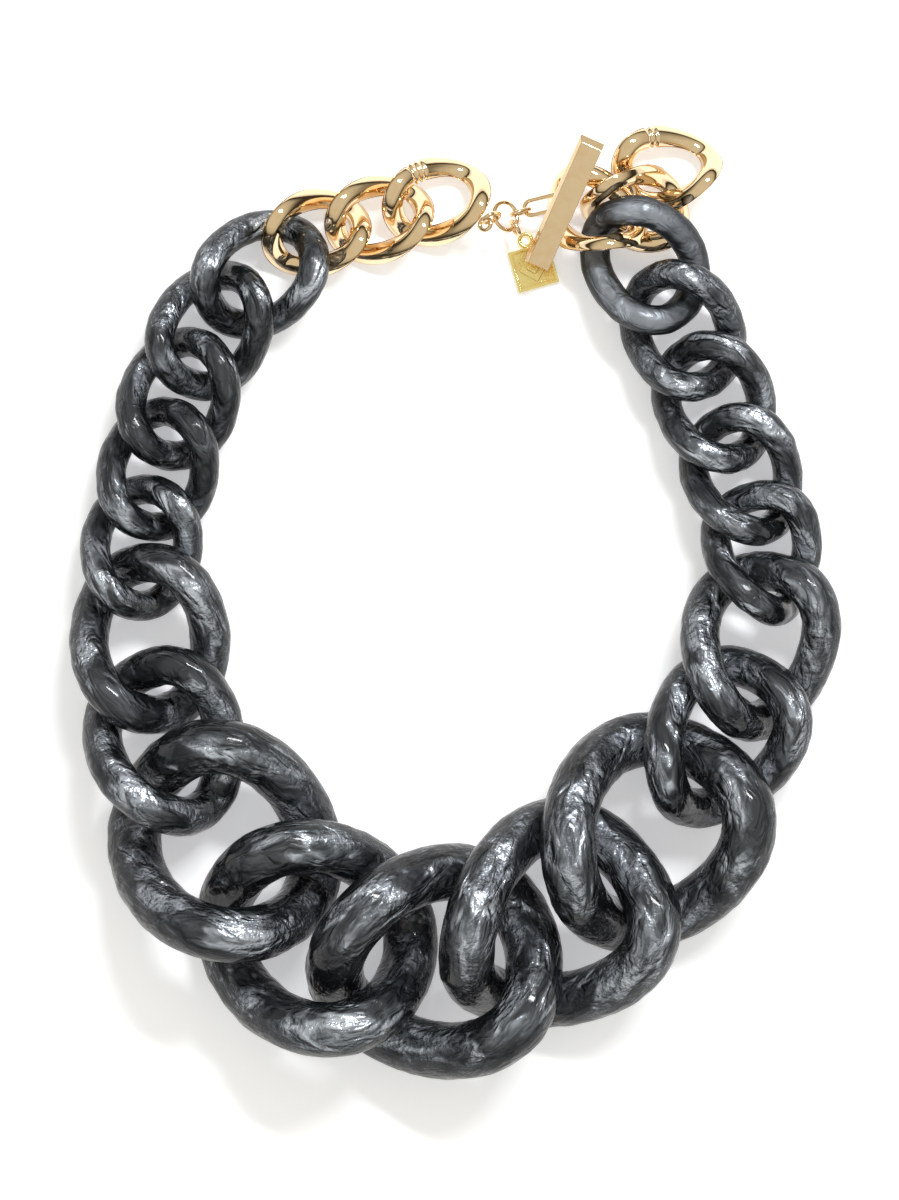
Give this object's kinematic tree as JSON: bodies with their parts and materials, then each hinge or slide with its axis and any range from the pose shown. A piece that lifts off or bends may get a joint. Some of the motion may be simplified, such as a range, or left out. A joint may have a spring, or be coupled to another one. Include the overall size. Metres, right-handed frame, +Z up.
{
  "type": "chain necklace",
  "caption": "Chunky curb-chain necklace of marbled resin links that grow towards the front, with gold end links, a toggle bar clasp and a square tag.",
  "frame": {"origin": "centre of the bounding box at its bottom, on the surface the necklace lies on", "axes": "+Z up out of the surface, +Y from the large front links to the clasp, +X to the right seen from above"},
  "size_m": [0.1716, 0.2118, 0.0379],
  "materials": {
    "marbled_resin": "glossy cast resin, charcoal with silvery grey pearl swirls",
    "gold_metal": "polished pale gold plate",
    "tag_metal": "polished yellow gold plate"
  },
  "bodies": {
    "centre_link": {"centre_link": "marbled_resin"},
    "left_gold_link_3": {"left_gold_link_3": "gold_metal"},
    "left_gold_link_2": {"left_gold_link_2": "gold_metal"},
    "left_gold_link_1": {"left_gold_link_1": "gold_metal"},
    "left_small_link_5": {"left_small_link_5": "marbled_resin"},
    "left_small_link_4": {"left_small_link_4": "marbled_resin"},
    "left_small_link_3": {"left_small_link_3": "marbled_resin"},
    "left_small_link_2": {"left_small_link_2": "marbled_resin"},
    "left_small_link_1": {"left_small_link_1": "marbled_resin"},
    "left_medium_link_2": {"left_medium_link_2": "marbled_resin"},
    "left_medium_link_1": {"left_medium_link_1": "marbled_resin"},
    "left_large_link_2": {"left_large_link_2": "marbled_resin"},
    "left_large_link_1": {"left_large_link_1": "marbled_resin"},
    "right_large_link_1": {"right_large_link_1": "marbled_resin"},
    "right_large_link_2": {"right_large_link_2": "marbled_resin"},
    "right_medium_link_1": {"right_medium_link_1": "marbled_resin"},
    "right_medium_link_2": {"right_medium_link_2": "marbled_resin"},
    "right_small_link_1": {"right_small_link_1": "marbled_resin"},
    "right_small_link_2": {"right_small_link_2": "marbled_resin"},
    "right_small_link_3": {"right_small_link_3": "marbled_resin"},
    "right_small_link_4": {"right_small_link_4": "marbled_resin"},
    "right_small_link_5": {"right_small_link_5": "marbled_resin"},
    "right_gold_link_1": {"right_gold_link_1": "gold_metal"},
    "right_gold_link_2": {"right_gold_link_2": "gold_metal"},
    "right_gold_link_3": {"right_gold_link_3": "gold_metal"},
    "toggle_bar": {"toggle_bar": "gold_metal"},
    "clasp_link_1": {"clasp_link_1": "gold_metal"},
    "clasp_ring": {"clasp_ring": "gold_metal"},
    "clasp_link_2": {"clasp_link_2": "gold_metal"},
    "clasp_link_3": {"clasp_link_3": "gold_metal"},
    "tag_ring": {"tag_ring": "gold_metal"},
    "tag": {"tag": "tag_metal"}
  },
  "joints": [
    {"name": "left_large_link_1_swing", "type": "hinge", "parent": "centre_link", "child": "left_large_link_1", "pos_m": [-0.01942, -0.08286, 0.01789], "axis": [0, 0, 1], "range_deg": [-1.71, 1.03]},
    {"name": "left_large_link_2_swing", "type": "hinge", "parent": "left_large_link_1", "child": "left_large_link_2", "pos_m": [-0.04361, -0.06697, 0.01726], "axis": [0, 0, 1], "range_deg": [-2.79, 4.64]},
    {"name": "left_medium_link_1_swing", "type": "hinge", "parent": "left_large_link_2", "child": "left_medium_link_1", "pos_m": [-0.06174, -0.04231, 0.0151], "axis": [0, 0, 1], "range_deg": [-5, 3]},
    {"name": "left_medium_link_2_swing", "type": "hinge", "parent": "left_medium_link_1", "child": "left_medium_link_2", "pos_m": [-0.06759, -0.02047, 0.01155], "axis": [0, 0, 1], "range_deg": [-1.26, 2.09]},
    {"name": "left_small_link_1_swing", "type": "hinge", "parent": "left_medium_link_2", "child": "left_small_link_1", "pos_m": [-0.0702, 0.00352, 0.01031], "axis": [0, 0, 1], "range_deg": [-1.13, 1.13]},
    {"name": "left_small_link_2_swing", "type": "hinge", "parent": "left_small_link_1", "child": "left_small_link_2", "pos_m": [-0.06878, 0.02058, 0.00833], "axis": [0, 0, 1], "range_deg": [-6.6, 6.6]},
    {"name": "left_small_link_3_swing", "type": "hinge", "parent": "left_small_link_2", "child": "left_small_link_3", "pos_m": [-0.06425, 0.03716, 0.00872], "axis": [0, 0, 1], "range_deg": [-10, 10]},
    {"name": "left_small_link_4_swing", "type": "hinge", "parent": "left_small_link_3", "child": "left_small_link_4", "pos_m": [-0.05913, 0.05305, 0.00859], "axis": [0, 0, 1], "range_deg": [-4.54, 4.54]},
    {"name": "left_small_link_5_swing", "type": "hinge", "parent": "left_small_link_4", "child": "left_small_link_5", "pos_m": [-0.0508, 0.06811, 0.00901], "axis": [0, 0, 1], "range_deg": [-0.84, 0.51]},
    {"name": "left_gold_link_1_swing", "type": "hinge", "parent": "left_small_link_5", "child": "left_gold_link_1", "pos_m": [-0.03669, 0.07951, 0.0075], "axis": [0, 0, 1], "range_deg": [-3.89, 6.47]},
    {"name": "left_gold_link_2_swing", "type": "hinge", "parent": "left_gold_link_1", "child": "left_gold_link_2", "pos_m": [-0.02402, 0.08356, 0.0054], "axis": [0, 0, 1], "range_deg": [-10, 6]},
    {"name": "left_gold_link_3_swing", "type": "hinge", "parent": "left_gold_link_2", "child": "left_gold_link_3", "pos_m": [-0.01039, 0.08663, 0.00567], "axis": [0, 0, 1], "range_deg": [-2.65, 4.4]},
    {"name": "right_large_link_1_swing", "type": "hinge", "parent": "centre_link", "child": "right_large_link_1", "pos_m": [0.01013, -0.08058, 0.01792], "axis": [0, 0, 1], "range_deg": [-1.27, 1.69]},
    {"name": "right_large_link_2_swing", "type": "hinge", "parent": "right_large_link_1", "child": "right_large_link_2", "pos_m": [0.03381, -0.06355, 0.0174], "axis": [0, 0, 1], "range_deg": [-4, 3]},
    {"name": "right_medium_link_1_swing", "type": "hinge", "parent": "right_large_link_2", "child": "right_medium_link_1", "pos_m": [0.0535, -0.04068, 0.01361], "axis": [0, 0, 1], "range_deg": [-1.88, 2.49]},
    {"name": "right_medium_link_2_swing", "type": "hinge", "parent": "right_medium_link_1", "child": "right_medium_link_2", "pos_m": [0.06577, -0.02158, 0.01229], "axis": [0, 0, 1], "range_deg": [-0.62, 0.82]},
    {"name": "right_small_link_1_swing", "type": "hinge", "parent": "right_medium_link_2", "child": "right_small_link_1", "pos_m": [0.07075, 0.00201, 0.01046], "axis": [0, 0, 1], "range_deg": [-0.96, 0.73]},
    {"name": "right_small_link_2_swing", "type": "hinge", "parent": "right_small_link_1", "child": "right_small_link_2", "pos_m": [0.06735, 0.01918, 0.00917], "axis": [0, 0, 1], "range_deg": [-4.93, 4.93]},
    {"name": "right_small_link_3_swing", "type": "hinge", "parent": "right_small_link_2", "child": "right_small_link_3", "pos_m": [0.0611, 0.03578, 0.00829], "axis": [0, 0, 1], "range_deg": [-10, 10]},
    {"name": "right_small_link_4_swing", "type": "hinge", "parent": "right_small_link_3", "child": "right_small_link_4", "pos_m": [0.05454, 0.0522, 0.00828], "axis": [0, 0, 1], "range_deg": [-4.84, 4.84]},
    {"name": "right_small_link_5_swing", "type": "hinge", "parent": "right_small_link_4", "child": "right_small_link_5", "pos_m": [0.04732, 0.06803, 0.00955], "axis": [0, 0, 1], "range_deg": [-0.7, 0.7]},
    {"name": "right_gold_link_1_swing", "type": "hinge", "parent": "right_small_link_5", "child": "right_gold_link_1", "pos_m": [0.03643, 0.0826, 0.01203], "axis": [0, 0, 1], "range_deg": [-0.44, 0.44]},
    {"name": "right_gold_link_2_swing", "type": "hinge", "parent": "right_gold_link_1", "child": "right_gold_link_2", "pos_m": [0.0357, 0.08815, 0.00641], "axis": [0, 0, 1], "range_deg": [-2.5, 3]},
    {"name": "right_gold_link_3_swing", "type": "hinge", "parent": "right_gold_link_2", "child": "right_gold_link_3", "pos_m": [0.04418, 0.09263, 0.00367], "axis": [0, 0, -1], "range_deg": [-3, 10]},
    {"name": "clasp_link_1_swing", "type": "hinge", "parent": "left_gold_link_3", "child": "clasp_link_1", "pos_m": [0.00626, 0.08382, 0.01108], "axis": [0, 0, 1], "range_deg": [-1, 3]},
    {"name": "clasp_ring_swing", "type": "hinge", "parent": "clasp_link_1", "child": "clasp_ring", "pos_m": [0.00917, 0.08504, 0.00976], "axis": [0, 0, -1], "range_deg": [-3, 1]},
    {"name": "clasp_link_2_swing", "type": "hinge", "parent": "clasp_ring", "child": "clasp_link_2", "pos_m": [0.01318, 0.08598, 0.00639], "axis": [0, 0, -1], "range_deg": [-3, 2]},
    {"name": "clasp_link_3_swing", "type": "hinge", "parent": "clasp_link_2", "child": "clasp_link_3", "pos_m": [0.01595, 0.08712, 0.0055], "axis": [0, 0, 1], "range_deg": [-2, 3]},
    {"name": "toggle_bar_swing", "type": "hinge", "parent": "clasp_link_3", "child": "toggle_bar", "pos_m": [0.02424, 0.08818, 0.01132], "axis": [0, 0, -1], "range_deg": [-2, 4]},
    {"name": "tag_ring_swing", "type": "hinge", "parent": "clasp_ring", "child": "tag_ring", "pos_m": [0.01297, 0.08385, 0.00701], "axis": [0, 0, 1], "range_deg": [-8, 8]},
    {"name": "tag_swing", "type": "hinge", "parent": "tag_ring", "child": "tag", "pos_m": [0.01411, 0.08139, 0.0031], "axis": [0, 0, -1], "range_deg": [-8, 8]}
  ],
  "couplings": [
    {"joint": "left_large_link_1_swing", "follows": "left_medium_link_1_swing", "ratio": 0.3383},
    {"joint": "left_large_link_2_swing", "follows": "left_medium_link_1_swing", "ratio": -0.9235},
    {"joint": "left_medium_link_2_swing", "follows": "left_medium_link_1_swing", "ratio": -0.4148},
    {"joint": "left_small_link_1_swing", "follows": "left_small_link_3_swing", "ratio": 0.1107},
    {"joint": "left_small_link_2_swing", "follows": "left_small_link_3_swing", "ratio": -0.6582},
    {"joint": "left_small_link_4_swing", "follows": "left_small_link_3_swing", "ratio": -0.4524},
    {"joint": "left_small_link_5_swing", "follows": "left_gold_link_2_swing", "ratio": 0.0824},
    {"joint": "left_gold_link_1_swing", "follows": "left_gold_link_2_swing", "ratio": -0.6447},
    {"joint": "left_gold_link_3_swing", "follows": "left_gold_link_2_swing", "ratio": -0.4377},
    {"joint": "right_large_link_1_swing", "follows": "right_large_link_2_swing", "ratio": -0.417},
    {"joint": "right_medium_link_1_swing", "follows": "right_large_link_2_swing", "ratio": -0.6185},
    {"joint": "right_medium_link_2_swing", "follows": "right_large_link_2_swing", "ratio": -0.1998},
    {"joint": "right_small_link_1_swing", "follows": "right_large_link_2_swing", "ratio": 0.2353},
    {"joint": "right_small_link_2_swing", "follows": "right_small_link_3_swing", "ratio": -0.4914},
    {"joint": "right_small_link_4_swing", "follows": "right_small_link_3_swing", "ratio": -0.4825},
    {"joint": "right_small_link_5_swing", "follows": "right_small_link_3_swing", "ratio": -0.0682},
    {"joint": "right_gold_link_1_swing", "follows": "right_small_link_3_swing", "ratio": 0.0421}
  ]
}
